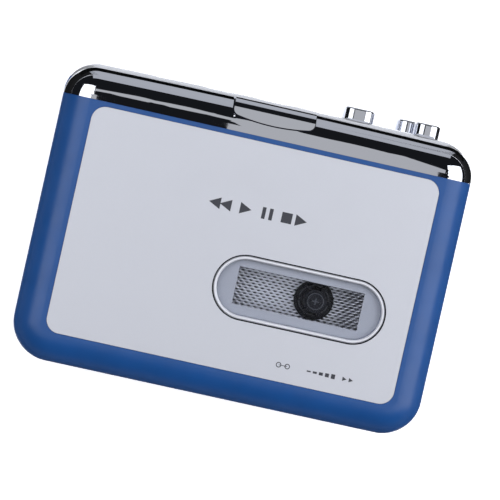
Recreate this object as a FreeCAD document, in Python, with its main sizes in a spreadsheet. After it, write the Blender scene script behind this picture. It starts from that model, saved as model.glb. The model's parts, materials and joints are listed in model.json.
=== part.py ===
"""Pocket cassette player: every sub-part as its own solid, in one shared frame.

Millimetres. The player lies on its back: +Z leaves the front, +X runs along the
long side, +Y points at the edge with the keys. The origin is the middle of the
flat back.
"""
import FreeCAD, Part
import math
import os
import re

import Sketcher
from FreeCAD import Placement, Rotation, Vector

DOC = FreeCAD.newDocument("cassette_player")
SHEET = DOC.addObject("Spreadsheet::Sheet", "dims")
NODES = []

DIMS = {
    # case
    "case_width": 114, "case_low": -41.2, "case_depth": 35, "wall": 2, "corner_low": 10.8,
    "rear_top_y": 41.4, "rear_corner": 8.8, "door_top_y": 40.1, "door_corner": 8.4,
    "crown_radius": 3000,
    "front_round": 7.4, "panel_round": 2.4, "back_round": 5.4, "edge_soft": 0.3,
    "rear_top": 22.85, "door_low": 23.15, "front_floor": 33,
    "top_split_y": 36, "top_split_z": 6, "split_gap": 0.05,
    # door hinge
    "hinge_y": -39.1, "hinge_z": 22.9, "hinge_relief": 3.5, "relief_x": 54.6,
    "apron_x": 54.3, "apron_y": -37.3, "apron_z": 20.5,
    "knuckle_r": 1.9, "knuckle_x0": 30, "knuckle_x1": 36, "knuckle_y": -41.1,
    "ear_x0": 26, "ear_x1": 40, "play_gap": 0.3, "hinge_pin_r": 0.8, "hinge_bore_r": 0.86,
    # battery bay
    "bay_x": 52.3, "bay_y0": -35.9, "bay_y1": -20.1, "bay_roof": 16.4, "bay_wall": 1,
    "bay_top": 17.2, "cover_low": 0.2, "cover_high": 1.8,
    # screw bosses
    "boss_x": 49.5, "boss_y0": -15, "boss_y1": 30.5, "boss_r": 2.6, "boss_top": 16,
    "screw_hole_r": 1.25, "screw_r": 1.1, "screw_head_r": 2, "screw_sink_r": 2.3,
    "screw_sink_z": 3.2, "screw_head_z": 2.9, "screw_low": 1.2,
    # door front
    "label_x": 96.5, "label_y": 62.5, "label_r": 3.8, "label_cy": -1.5, "label_low": 34.22,
    "label_fit": 0.1, "window_cx": 17.4, "window_cy": -9.8, "window_half": 15.1,
    "window_r": 9.0, "ring_r": 8.65, "lens_r": 7.6, "lens_hole_r": 7.7,
    "mask_r": 8.5, "clear_x": 34.9, "clear_y": 10.4, "clear_cx": 17.3, "clear_cy": -9.6,
    "band_y": 31.05, "lip_x": 11.2, "lip_low_y": 34.6, "lip_top_y": 40.2, "lip_r": 54,
    "lip_corner": 1.75, "lip_gap": 0.35, "lip_wall": 1.6, "lip_round": 3.3,
    # cassette holder
    "holder_x": 52.2, "holder_y0": -35.8, "holder_y1": 25.5, "holder_r": 6, "holder_z0": 31.4,
    "holder_z1": 32.2, "rail_in": 50.4, "rail_low": 21.6, "rail_y0": -30.5, "rail_y1": 24,
    # reels
    "deck_cx": 1.3, "reel_off": 21.25, "reel_y": -9.6, "shaft_r": 1, "running": 0.06,
    "tooth_gap": 0.2, "tooth_depth": 0.9,
    "reel_gear_r": 9, "reel_gear_z0": 17.4, "reel_gear_z1": 18.8, "reel_neck_r": 4.5,
    "reel_flange_r": 5.5, "reel_flange_z0": 20.5, "reel_flange_z1": 21.8,
    "reel_core_r": 3.2, "reel_wing_r": 4.4, "reel_wing_z": 26, "reel_core_z": 27.2,
    "reel_cap_r": 2.1, "reel_cap_z": 28, "reel_shaft_z": 26,
    # deck
    "plate_x": 53, "plate_y0": -18.6, "plate_y1": 32.3, "plate_z0": 16, "plate_z1": 17,
    "deck_x": 49.5, "deck_y0": -34.5, "deck_y1": 13, "deck_z0": 19.3, "deck_z1": 20.1,
    "deck_hole_r": 6, "mesh_z1": 20.4, "mesh_x": 40, "mesh_y0": -31, "mesh_y1": 6,
    # capstans and flywheels
    "capstan_off": 32.8, "capstan_y": 18.5, "capstan_r": 1, "capstan_z0": 5.1,
    "capstan_z1": 30.4, "bearing_r": 2.4, "bearing_z0": 13.8, "bearing_z1": 19,
    "wheel_r": 13, "wheel_z0": 5.4, "wheel_z1": 8.4, "groove_r": 12.2, "groove_z0": 6,
    "groove_z1": 7.8, "hub_r": 3, "hub_z1": 8.9, "pinion_r": 3.5, "pinion_z1": 10.6,
    # motor and belt
    "motor_y": 5.8, "motor_r": 10.5, "motor_z0": 8.9, "motor_z1": 15.9, "nose_r": 3,
    "pulley_r": 3.2, "pulley_groove_r": 2.2, "pulley_z0": 5, "pulley_z1": 8.2,
    "motor_shaft_r": 0.75, "motor_shaft_z1": 9.9, "belt_z0": 6.4, "belt_z1": 7.4,
    "belt_inner": 12.5, "belt_outer": 13.4, "belt_pulley_in": 2.5, "belt_pulley_out": 3.4,
    # idler
    "idler_x": 28.9, "idler_y": 6.0, "idler_low_r": 10, "idler_up_r": 8,
    "idler_low_z0": 9.2, "idler_neck_r": 1.9, "idler_shaft_r": 0.9,
    # head and pinch rollers
    "head_plate_x": 13, "head_plate_y0": 12.5, "head_plate_y1": 37.3,
    "head_plate_z0": 17.6, "head_plate_z1": 18.4, "head_travel": 3.9,
    "guide_off": 9.5, "guide_y0": 16, "guide_y1": 31, "guide_slot_r": 1.3,
    "head_x": 6, "head_y0": 27.5, "head_y1": 35.5, "head_z0": 20.4, "head_z1": 29.6,
    "arm_off": 19.5, "arm_y": 26.1, "arm_z0": 18.8, "arm_z1": 19.8, "arm_pivot_r": 2.2,
    "arm_end_r": 1.8, "roller_y": 28.5, "roller_pin_r": 0.9, "roller_pin_z1": 29.3,
    "roller_r": 4, "roller_z0": 21.5, "roller_z1": 28.5,
    # keys
    "row_front": 18, "row_rear": 9.9, "key_depth": 6.2, "key_corner": 2.9, "key_top": 44.7,
    "key_low": 36.9, "key_soft": 0.6, "flange_low": 35.9, "flange_more": 0.8,
    "lever_low": 31, "lever_half": 2.5, "lever_thick": 0.8, "lever_drop": 0.4,
    "stop_x": 23.8, "stop_w": 8.8, "play_x": 24.1, "play_w": 8,
    "rewind_x": 39.6, "rewind_w": 8.4, "forward_x": 43.2, "forward_w": 7.4,
    # sockets and controls
    "jack_x": -41, "jack_z": 12, "jack_half": 3.1, "jack_y0": 25, "jack_y1": 37.2,
    "jack_nose_r": 2.9, "jack_end": 41, "jack_bore_r": 1.8, "jack_bore_y": 26.6,
    "usb_y": -5, "usb_z": 8.75, "usb_half_y": 3.85, "usb_half_z": 1.95, "usb_x0": 45,
    "usb_x1": 56.6, "usb_skin": 0.4, "slider_x": 0.5, "slider_z": 11,
    "volume_x": 50.6, "volume_y": 20, "volume_r": 7.4, "volume_z0": 12.6,
    "volume_z1": 14.8, "pot_r": 4, "pot_z0": 9.2,
    # boards
    "board_x": 46.5, "board_y0": -17.5, "board_y1": 33, "board_z0": 2.8, "board_z1": 3.6,
}


def fill_sheet():
    """Writes every named size into the spreadsheet."""
    for row, (alias, value) in enumerate(DIMS.items(), start=1):
        cell = "A%d" % row
        SHEET.set(cell, str(value))
        SHEET.setAlias(cell, alias)
    DOC.recompute()


def link(expr):
    """Puts the spreadsheet's name before each size named in an expression."""
    def full(match):
        word = match.group(0)
        return "dims." + word if word in DIMS else word
    return re.sub(r"[a-z][a-z0-9_]*", full, str(expr))


def num(expr):
    """The present value of an expression."""
    return float(SHEET.evalExpression(link(expr)))


def bind(thing, prop, expr):
    """Ties a property to the spreadsheet."""
    thing.setExpression(prop, link(expr))


# ---------------------------------------------------------------- sketch loops

def fix(sketch, kind, refs, expr):
    """Adds one driving constraint tied to the spreadsheet."""
    row = sketch.addConstraint(Sketcher.Constraint(kind, *refs, num(expr)))
    bind(sketch, "Constraints[%d]" % row, expr)


def pin(sketch, curve, point, x, y):
    """Ties one point of a curve to a place."""
    fix(sketch, "DistanceX", (-1, 1, curve, point), x)
    fix(sketch, "DistanceY", (-1, 1, curve, point), y)


def circle(x, y, r):
    """A full circle."""
    def draw(sketch):
        shape = Part.Circle(Vector(num(x), num(y), 0), Vector(0, 0, 1), num(r))
        curve = sketch.addGeometry(shape)
        pin(sketch, curve, 3, x, y)
        fix(sketch, "Radius", (curve,), r)
    return draw


def polygon(*points):
    """A closed outline of straight lines."""
    def draw(sketch):
        spots = [Vector(num(x), num(y), 0) for x, y in points]
        first = sketch.GeometryCount
        count = len(spots)
        for i in range(count):
            sketch.addGeometry(Part.LineSegment(spots[i], spots[(i + 1) % count]))
        for i in range(count):
            after = first + (i + 1) % count
            sketch.addConstraint(Sketcher.Constraint("Coincident", first + i, 2, after, 1))
        for i in range(count):
            pin(sketch, first + i, 1, *points[i])
    return draw


def box(x0, y0, x1, y1):
    """A square-cornered rectangle."""
    return polygon((x0, y0), (x1, y0), (x1, y1), (x0, y1))


def hull(*discs):
    """A belt drawn round discs given counter-clockwise."""
    def draw(sketch):
        centres = [Vector(num(x), num(y), 0) for x, y, _ in discs]
        radii = [num(r) for _, _, r in discs]
        count = len(discs)
        leave = []
        for i in range(count):
            step = centres[(i + 1) % count] - centres[i]
            lean = (radii[i] - radii[(i + 1) % count]) / step.Length
            ahead = step / step.Length
            side = Vector(ahead.y, -ahead.x, 0)
            leave.append(ahead * lean + side * math.sqrt(1 - lean * lean))
        first = sketch.GeometryCount
        for i in range(count):
            after = (i + 1) % count
            a = centres[i] + leave[i] * radii[i]
            b = centres[after] + leave[i] * radii[after]
            sketch.addGeometry(Part.LineSegment(a, b))
        for i in range(count):
            start = math.atan2(leave[i - 1].y, leave[i - 1].x)
            end = math.atan2(leave[i].y, leave[i].x)
            if end <= start:
                end += 2 * math.pi
            round_part = Part.Circle(centres[i], Vector(0, 0, 1), radii[i])
            sketch.addGeometry(Part.ArcOfCircle(round_part, start, end))
        for i in range(count):
            arc = first + count + i
            before = first + (i - 1) % count
            sketch.addConstraint(Sketcher.Constraint("Tangent", before, 2, arc, 1))
            sketch.addConstraint(Sketcher.Constraint("Tangent", arc, 2, first + i, 1))
        for i in range(count):
            arc = first + count + i
            pin(sketch, arc, 3, discs[i][0], discs[i][1])
            fix(sketch, "Radius", (arc,), discs[i][2])
    return draw


def rounded(cx, cy, width, height, r):
    """A rounded rectangle about a centre."""
    dx = "((%s) / 2 - (%s))" % (width, r)
    dy = "((%s) / 2 - (%s))" % (height, r)
    corners = ((-1, -1), (1, -1), (1, 1), (-1, 1))
    return hull(*[("%s + (%d) * %s" % (cx, sx, dx), "%s + (%d) * %s" % (cy, sy, dy), r)
                  for sx, sy in corners])


def stadium(r):
    """The window's shape at a given end radius."""
    return hull(("window_cx - window_half", "window_cy", r),
                ("window_cx + window_half", "window_cy", r))


def lip(grow):
    """The pull lip: a strip of the top edge with a bowed lower side and round corners."""
    side = "lip_x + %s" % grow
    top = "lip_top_y + %s" % grow
    bow = "lip_r + %s" % grow
    turn = "lip_corner + %s" % grow
    turn_x = "lip_x - lip_corner"
    bow_y = "lip_low_y + lip_r"

    def draw(sketch):
        w, yt, r, rc, cx, middle = (num(v) for v in (side, top, bow, turn, turn_x, bow_y))
        cy = middle - math.sqrt((r - rc) ** 2 - cx * cx)
        lean = math.atan2(cy - middle, cx)

        def arc_of(x, y, radius, start, finish):
            ring = Part.Circle(Vector(x, y, 0), Vector(0, 0, 1), radius)
            return sketch.addGeometry(Part.ArcOfCircle(ring, start, finish))

        arc = arc_of(0, middle, r, -math.pi - lean, lean)
        right_turn = arc_of(cx, cy, rc, lean, 0)
        right = sketch.addGeometry(Part.LineSegment(Vector(w, cy, 0), Vector(w, yt, 0)))
        upper = sketch.addGeometry(Part.LineSegment(Vector(w, yt, 0), Vector(-w, yt, 0)))
        left = sketch.addGeometry(Part.LineSegment(Vector(-w, yt, 0), Vector(-w, cy, 0)))
        left_turn = arc_of(-cx, cy, rc, math.pi, math.pi - lean)
        for a, b in ((arc, right_turn), (right_turn, right), (left, left_turn), (left_turn, arc)):
            sketch.addConstraint(Sketcher.Constraint("Tangent", a, 2, b, 1))
        for a, b in ((right, upper), (upper, left)):
            sketch.addConstraint(Sketcher.Constraint("Coincident", a, 2, b, 1))
        sketch.addConstraint(Sketcher.Constraint("PointOnObject", arc, 3, -2))
        fix(sketch, "DistanceY", (-1, 1, arc, 3), bow_y)
        fix(sketch, "Radius", (arc,), bow)
        fix(sketch, "Radius", (right_turn,), turn)
        fix(sketch, "Radius", (left_turn,), turn)
        fix(sketch, "DistanceX", (-1, 1, right_turn, 3), turn_x)
        fix(sketch, "DistanceX", (-1, 1, left_turn, 3), "-(%s)" % turn_x)
        pin(sketch, upper, 1, side, top)
        pin(sketch, left, 1, "-(%s)" % side, top)
    return draw


def case_loop(side, inset):
    """The rear's or door's outline moved inwards: round corners, slightly bowed top."""
    half = "case_width / 2 - %s" % inset
    low = "case_low + %s" % inset
    r_low = "corner_low - %s" % inset
    r_top = "%s_corner - %s" % (side, inset)
    r_bow = "crown_radius - %s" % inset
    bow_y = "%s_top_y - crown_radius" % side

    def draw(sketch):
        a, y0, rl, rt, rb, yb = map(num, (half, low, r_low, r_top, r_bow, bow_y))
        top_y = yb + math.sqrt((rb - rt) ** 2 - (a - rt) ** 2)
        swing = math.atan2(top_y - yb, a - rt)
        up = Vector(0, 0, 1)
        reach = Vector(math.cos(swing), math.sin(swing), 0) * rb

        def line(p, q):
            return sketch.addGeometry(Part.LineSegment(Vector(*p), Vector(*q)))

        def arc(centre, r, start, end):
            shape = Part.ArcOfCircle(Part.Circle(Vector(*centre), up, r), start, end)
            return sketch.addGeometry(shape)

        quarter = math.pi / 2
        bottom = line((-a + rl, y0), (a - rl, y0))
        low_right = arc((a - rl, y0 + rl), rl, -quarter, 0)
        right = line((a, y0 + rl), (a, top_y))
        top_right = arc((a - rt, top_y), rt, 0, swing)
        crown = arc((0, yb), rb, swing, math.pi - swing)
        top_left = arc((-a + rt, top_y), rt, math.pi - swing, math.pi)
        left = line((-a, top_y), (-a, y0 + rl))
        low_left = arc((-a + rl, y0 + rl), rl, math.pi, 3 * quarter)
        chain = (bottom, low_right, right, top_right, crown, top_left, left, low_left)
        for i, curve in enumerate(chain):
            after = chain[(i + 1) % len(chain)]
            sketch.addConstraint(Sketcher.Constraint("Tangent", curve, 2, after, 1))
        fix(sketch, "DistanceY", (-1, 1, bottom, 1), low)
        fix(sketch, "DistanceX", (-1, 1, right, 1), half)
        fix(sketch, "DistanceX", (-1, 1, left, 1), "-(%s)" % half)
        sketch.addConstraint(Sketcher.Constraint("Horizontal", bottom))
        sketch.addConstraint(Sketcher.Constraint("Vertical", right))
        sketch.addConstraint(Sketcher.Constraint("Vertical", left))
        pin(sketch, crown, 3, "0", bow_y)
        for curve, radius in ((low_right, r_low), (low_left, r_low), (top_right, r_top),
                              (top_left, r_top), (crown, r_bow)):
            fix(sketch, "Radius", (curve,), radius)
    return draw


# ------------------------------------------------------------- feature helpers

def part(label, x="0", y="0", z="0"):
    """A new sub-part with its own placement."""
    body = DOC.addObject("PartDesign::Body", label)
    body.Label = label
    bind(body, "Placement.Base.x", x)
    bind(body, "Placement.Base.y", y)
    bind(body, "Placement.Base.z", z)
    NODES.append(body)
    return body


def sketch_on(body, plane, level, loops):
    """A sketch on one of the body's own planes, moved along its normal."""
    sheet = body.newObject("Sketcher::SketchObject", body.Label + "_outline")
    support = [f for f in body.Origin.OriginFeatures if f.Role == plane + "_Plane"][0]
    sheet.AttachmentSupport = (support, [""])
    sheet.MapMode = "FlatFace"
    bind(sheet, "AttachmentOffset.Base.z", level)
    for loop in loops:
        loop(sheet)
    return sheet


def add(body, plane, lo, hi, *loops):
    """Adds material between two levels of X, Y or Z."""
    level = "-(%s)" % hi if plane == "XZ" else lo
    sheet = sketch_on(body, plane, level, loops)
    pad = body.newObject("PartDesign::Pad", body.Label + "_pad")
    pad.Profile = sheet
    bind(pad, "Length", "(%s) - (%s)" % (hi, lo))
    pad.Refine = True
    return pad


def cut(body, plane, lo, hi, *loops):
    """Removes material between two levels of X, Y or Z."""
    level = "-(%s)" % lo if plane == "XZ" else hi
    sheet = sketch_on(body, plane, level, loops)
    pocket = body.newObject("PartDesign::Pocket", body.Label + "_cut")
    pocket.Profile = sheet
    bind(pocket, "Length", "(%s) - (%s)" % (hi, lo))
    pocket.Refine = True
    return pocket


def soften(body, radius, pick, kind="Fillet"):
    """Rounds or bevels the edges that pick chooses."""
    DOC.recompute()
    tip = body.Tip
    names = ["Edge%d" % (i + 1) for i, edge in enumerate(tip.Shape.Edges) if pick(edge)]
    if not names:
        raise RuntimeError("no edge to soften on " + body.Label)
    feature = body.newObject("PartDesign::" + kind, body.Label + "_soft")
    feature.Base = (tip, names)
    bind(feature, "Radius" if kind == "Fillet" else "Size", radius)
    return feature


def flat_at(level, axis=2):
    """Chooses edges lying at one level of an axis."""
    value = num(level)

    def pick(edge):
        box_of = edge.BoundBox
        low = (box_of.XMin, box_of.YMin, box_of.ZMin)[axis]
        high = (box_of.XMax, box_of.YMax, box_of.ZMax)[axis]
        return abs(low - value) < 1e-4 and abs(high - value) < 1e-4
    return pick


def repeat(body, feature, count):
    """Repeats a feature round the body's own Z axis."""
    pattern = body.newObject("PartDesign::PolarPattern", body.Label + "_ring")
    pattern.Originals = [feature]
    axis = [f for f in body.Origin.OriginFeatures if f.Role == "Z_Axis"][0]
    pattern.Axis = (axis, [""])
    pattern.Angle = 360
    pattern.Occurrences = count
    body.Tip = pattern
    return pattern


def teeth(body, lo, hi, radius, count):
    """Cuts tooth gaps into a disc centred on the body's own Z axis."""
    half = math.pi * num(radius) / count / 2
    outer = "%s + tooth_depth" % radius
    root = "%s - tooth_depth" % radius
    gap = cut(body, "XY", lo, hi, polygon(
        (root, "-%.3f * 0.7" % half), (outer, "-%.3f * 1.2" % half),
        (outer, "%.3f * 1.2" % half), (root, "%.3f * 0.7" % half)))
    repeat(body, gap, count)


def turned(body, *stages):
    """Stacks discs (radius, from, to) on the body's own Z axis."""
    for radius, lo, hi in stages:
        add(body, "XY", lo, hi, circle("0", "0", radius))


def bored(body, radius, lo, hi):
    """Bores the body along its own Z axis."""
    cut(body, "XY", lo, hi, circle("0", "0", radius))


def pairs(x, y):
    """The same place on the left and on the right."""
    return (("-(%s)" % x, y), (x, y))


def both(off):
    """Places either side of the tape deck's middle line."""
    return (("deck_cx - (%s)" % off, "left"), ("deck_cx + (%s)" % off, "right"))


# -------------------------------------------------------------------- the case

BOSSES = pairs("boss_x", "boss_y0") + pairs("boss_x", "boss_y1")
KEYS = (("stop", "row_front"), ("play", "row_rear"),
        ("rewind", "row_rear"), ("forward", "row_front"))


def rear_case():
    """The blue tub: back, sides, bottom wall, battery bay and screw bosses."""
    body = part("rear_case")
    add(body, "XY", "0", "rear_top", case_loop("rear", "0"))
    soften(body, "back_round", flat_at("0"))
    cut(body, "XY", "wall", "rear_top", case_loop("rear", "wall"))
    soften(body, "back_round - wall", flat_at("wall"))
    cut(body, "XY", "top_split_z", "rear_top", box("-60", "top_split_y", "60", "45"))
    add(body, "XY", "wall", "bay_top",
        box("-bay_x - bay_wall", "bay_y0 - bay_wall", "bay_x + bay_wall", "bay_y1 + bay_wall"))
    cut(body, "XY", "0", "bay_roof", box("-bay_x", "bay_y0", "bay_x", "bay_y1"))
    cut(body, "YZ", "-relief_x", "relief_x", circle("hinge_y", "hinge_z", "hinge_relief"))
    for x0, x1 in (("-knuckle_x1", "-knuckle_x0"), ("knuckle_x0", "knuckle_x1")):
        add(body, "YZ", x0, x1, circle("hinge_y", "hinge_z", "knuckle_r"))
        add(body, "YZ", x0, x1, box("knuckle_y", "hinge_z - 5", "hinge_y", "hinge_z"))
        cut(body, "YZ", x0, x1, circle("hinge_y", "hinge_z", "hinge_pin_r"))
    add(body, "XY", "wall", "boss_top", *[circle(x, y, "boss_r") for x, y in BOSSES])
    cut(body, "XY", "0", "boss_top", *[circle(x, y, "screw_hole_r") for x, y in BOSSES])
    cut(body, "XY", "0", "screw_sink_z", *[circle(x, y, "screw_sink_r") for x, y in BOSSES])
    add(body, "XY", "wall", "board_z0",
        *[circle(x, y, "boss_r") for x, y in pairs("38", "-14") + pairs("12", "31")])
    cut(body, "YZ", "case_width / 2 - wall - 1", "case_width / 2 + 1",
        box("usb_y - usb_half_y - play_gap", "usb_z - usb_half_z - play_gap",
            "usb_y + usb_half_y + play_gap", "usb_z + usb_half_z + play_gap"))
    cut(body, "YZ", "case_width / 2 - wall - 0.5", "case_width / 2 + 1",
        box("volume_y - 6.7", "volume_z0 - 0.4", "volume_y + 6.7", "volume_z1 + 0.4"))


def top_panel():
    """The bright fixed panel that carries the keys and the earphone socket."""
    body = part("top_panel")
    low = "top_split_z + split_gap"
    add(body, "XY", low, "rear_top", case_loop("rear", "0"))
    soften(body, "panel_round", flat_at("rear_top"))
    cut(body, "XY", low, "rear_top", case_loop("rear", "wall"))
    cut(body, "XY", low, "rear_top", box("-60", "-45", "60", "top_split_y + split_gap"))
    for name, row in KEYS:
        cut(body, "XZ", "30", "46", rounded(name + "_x", row, name + "_w + 2 * play_gap",
                                            "key_depth + 2 * play_gap", "key_corner"))
    cut(body, "XZ", "30", "46", circle("jack_x", "jack_z", "jack_nose_r + play_gap"))
    cut(body, "XZ", "30", "46", rounded("slider_x", "slider_z", "9.4", "3.4", "0.6"))


def battery_cover():
    """The lid over the two round cells, following the curved back."""
    body = part("battery_cover")
    add(body, "XY", "0", "6", case_loop("rear", "0"))
    soften(body, "back_round", flat_at("0"))
    cut(body, "XY", "cover_high", "6", box("-60", "-45", "60", "45"))
    cut(body, "XY", "0", "cover_low", box("-60", "-45", "60", "45"))
    cut(body, "XY", "0", "6", box("-60", "-45", "60", "45"),
        box("-bay_x + play_gap", "bay_y0 + play_gap", "bay_x - play_gap", "bay_y1 - play_gap"))
    grips = [box("%d" % (40 + 2 * i), "-33", "%d + 0.9" % (40 + 2 * i), "-23") for i in range(4)]
    cut(body, "XY", "0", "cover_low + 0.35", *grips)


def case_screws():
    """Four screws that clamp the tub to the deck plate from the back."""
    body = part("case_screws")
    add(body, "XY", "screw_low", "screw_head_z", *[circle(x, y, "screw_head_r") for x, y in BOSSES])
    add(body, "XY", "screw_head_z", "plate_z1 + 0.8", *[circle(x, y, "screw_r") for x, y in BOSSES])
    for x, y in BOSSES:
        cut(body, "XY", "screw_low", "screw_low + 0.8",
            box("%s - 1.3" % x, "%s - 0.25" % y, "%s + 1.3" % x, "%s + 0.25" % y))
        cut(body, "XY", "screw_low", "screw_low + 0.8",
            box("%s - 0.25" % x, "%s - 1.3" % y, "%s + 0.25" % x, "%s + 1.3" % y))


def hinge_pins():
    """Two steel pins the door turns on."""
    body = part("hinge_pins")
    spot = circle("hinge_y", "hinge_z", "hinge_pin_r")
    add(body, "YZ", "-ear_x1 + play_gap", "-ear_x0 - play_gap", spot)
    add(body, "YZ", "ear_x0 + play_gap", "ear_x1 - play_gap", spot)


# -------------------------------------------------------------------- the door

def door_shell(body, low):
    """The rounded front half of the case outline as an open shell."""
    add(body, "XY", low, "case_depth", case_loop("door", "0"))
    cut(body, "XY", low, "front_floor", case_loop("door", "wall"))
    soften(body, "front_round - wall", flat_at("front_floor"))
    soften(body, "front_round", flat_at("case_depth"))


def door_frame():
    """The blue front of the door round the label plate."""
    body = part("door_frame")
    door_shell(body, "apron_z")
    cut(body, "XY", "apron_z", "door_low", box("-60", "apron_y", "60", "45"))
    for x0, x1 in (("-60", "-apron_x"), ("apron_x", "60")):
        cut(body, "XY", "apron_z", "door_low", box(x0, "-45", x1, "0"))
    cut(body, "XY", "apron_z", "case_depth", box("-60", "band_y", "60", "45"))
    add(body, "XY", "front_floor - 2", "front_floor", box("-45", "26", "45", "band_y"))
    add(body, "XY", "front_floor - 2", "front_floor - 2 * split_gap",
        box("-45", "26", "45", "32.4"))
    cut(body, "XY", "label_low", "case_depth", rounded(
        "0", "label_cy", "label_x + 2 * label_fit", "label_y + 2 * label_fit",
        "label_r + label_fit"))
    cut(body, "XY", "front_floor - 2", "label_low", stadium("lens_hole_r"))
    for x0, x1 in (("-ear_x1", "-ear_x0"), ("ear_x0", "ear_x1")):
        add(body, "YZ", x0, x1, circle("hinge_y", "hinge_z", "knuckle_r"))
        cut(body, "YZ", x0, x1, circle("hinge_y", "hinge_z", "hinge_bore_r"))
    for x0, x1 in (("-knuckle_x1", "-knuckle_x0"), ("knuckle_x0", "knuckle_x1")):
        cut(body, "YZ", x0 + " - play_gap", x1 + " + play_gap",
            box("-45", "apron_z - 1", "hinge_y + knuckle_r + 0.5", "hinge_z + knuckle_r + play_gap"))


def door_chrome_bezel():
    """The bright band along the top of the door."""
    body = part("door_chrome_bezel")
    door_shell(body, "door_low")
    cut(body, "XY", "door_low", "case_depth", box("-60", "-45", "60", "band_y + split_gap"))
    cut(body, "XY", "door_low", "case_depth", lip("lip_gap"))


def door_pull_tab():
    """The raised lip that opens the door."""
    body = part("door_pull_tab")
    add(body, "XY", "door_low", "case_depth", lip("0"))
    top = num("lip_top_y")
    front = num("case_depth")

    def front_top(edge):
        box_of = edge.BoundBox
        return abs(box_of.YMin - top) < 1e-3 and abs(box_of.ZMin - front) < 1e-3

    soften(body, "lip_round", front_top)
    cut(body, "XY", "door_low", "front_floor - 1",
        box("-lip_x - 1", "30", "lip_x + 1", "door_top_y - wall"))
    cut(body, "XY", "door_low", "front_floor - 1",
        box("-lip_x + lip_wall", "door_top_y - wall - 1", "lip_x - lip_wall",
            "lip_top_y - lip_wall"))


def label_plate():
    """The silver plate on the door."""
    body = part("label_plate")
    add(body, "XY", "label_low", "case_depth",
        rounded("0", "label_cy", "label_x", "label_y", "label_r"), stadium("window_r"))


def window_ring():
    """The bright rim of the window."""
    body = part("window_ring")
    add(body, "XY", "label_low", "case_depth - 0.1", stadium("ring_r"), stadium("lens_hole_r"))
    soften(body, "edge_soft", flat_at("case_depth - 0.1"), "Chamfer")


def window_lens():
    """The clear pane."""
    body = part("window_lens")
    add(body, "XY", "front_floor + 0.05", "case_depth - 0.45", stadium("lens_r"))
    soften(body, "edge_soft", flat_at("case_depth - 0.45"))


def window_mask():
    """The tinted film behind the pane, with a clear rectangle."""
    body = part("window_mask")
    add(body, "XY", "front_floor - 0.25", "front_floor - 0.05", stadium("mask_r"),
        box("clear_cx - clear_x / 2", "clear_cy - clear_y / 2",
            "clear_cx + clear_x / 2", "clear_cy + clear_y / 2"))


def cassette_holder():
    """The frame inside the door that the cassette drops into."""
    body = part("cassette_holder")
    add(body, "XY", "holder_z0", "holder_z1",
        rounded("0", "(holder_y0 + holder_y1) / 2", "2 * holder_x", "holder_y1 - holder_y0",
                "holder_r"),
        box("window_cx - window_half - 9.5", "window_cy - 10", "window_cx + window_half + 9.5",
            "window_cy + 10"),
        box("-46", "-26", "-12", "12"))
    for x0, x1 in (("deck_cx - rail_in - 1.2", "deck_cx - rail_in"),
                   ("deck_cx + rail_in", "holder_x")):
        add(body, "XY", "rail_low", "holder_z0", box(x0, "rail_y0", x1, "rail_y1"))


def cassette_springs():
    """Two leaf springs that press the cassette onto the deck."""
    body = part("cassette_springs")
    for x in ("-20", "47"):
        add(body, "YZ", x + " - 2.5", x + " + 2.5", polygon(
            ("4", "31.35"), ("4", "31.05"), ("8", "31.05"), ("15", "29.6"), ("22", "30.6"),
            ("22", "30.9"), ("15", "29.9"), ("8", "31.35")))


def door_catches():
    """Two hooks that hold the door shut."""
    body = part("door_catches")
    for x in ("-32.5", "33.5"):
        add(body, "YZ", x + " - 1.5", x + " + 1.5", polygon(
            ("35.6", "20.6"), ("36.9", "21.2"), ("36.9", "22.2"), ("36.2", "22.6"),
            ("36.2", "30.6"), ("33.4", "30.6"), ("33.4", "29.8"), ("35", "29.8"),
            ("35", "20.6")))


# ---------------------------------------------------------------- keys, sockets

def key_parts():
    """Four press keys, each a bright cap with a flange and a steel lever."""
    for name, row in KEYS:
        x, width = name + "_x", name + "_w"
        body = part(name + "_key")
        add(body, "XZ", "key_low", "key_top", rounded(x, row, width, "key_depth", "key_corner"))
        soften(body, "key_soft", flat_at("key_top", 1))
        add(body, "XZ", "flange_low", "key_low", rounded(
            x, row, width + " + flange_more", "key_depth + flange_more", "key_corner"))
        body = part(name + "_lever")
        add(body, "XY", row + " - lever_drop", row + " + lever_thick - lever_drop",
            box(x + " - lever_half", "lever_low", x + " + lever_half", "flange_low"))
        cut(body, "XY", row + " - lever_drop", row + " + lever_thick - lever_drop",
            rounded(x, "33.4", "1.6", "2.8", "0.7"))


def key_guide():
    """The block between the two rows of levers."""
    body = part("key_guide")
    add(body, "XY", "10.8", "plate_z0", box("19.6", "29.3", "46.6", "plate_y1 - 0.2"))
    for i in range(4):
        x = 21 + 6 * i
        cut(body, "XY", "10.8", "14.8", box("%d" % x, "30.3", "%d + 4" % x, "31.3"))


def key_springs():
    """A comb of flat fingers behind the key flanges."""
    body = part("key_springs")
    add(body, "XZ", "plate_y1", "plate_y1 + 0.3", box("19.6", "10.8", "46.6", "17.2"))
    for x in ("29.2", "38.4"):
        cut(body, "XZ", "plate_y1", "plate_y1 + 0.3", box(x, "12.4", x + " + 1.2", "17.2"))
    for x in ("29.6", "33.8"):
        cut(body, "XZ", "plate_y1", "plate_y1 + 0.3", box(x, "10.8", x + " + 0.8", "11.6"))


def phones_jack():
    """The 3.5 mm earphone socket."""
    body = part("phones_jack")
    add(body, "XZ", "jack_y0", "jack_y1",
        rounded("jack_x", "jack_z", "2 * jack_half", "2 * jack_half", "0.5"))
    add(body, "XZ", "jack_y1", "jack_end", circle("jack_x", "jack_z", "jack_nose_r"))
    cut(body, "XZ", "jack_bore_y", "jack_end", circle("jack_x", "jack_z", "jack_bore_r"))


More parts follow.
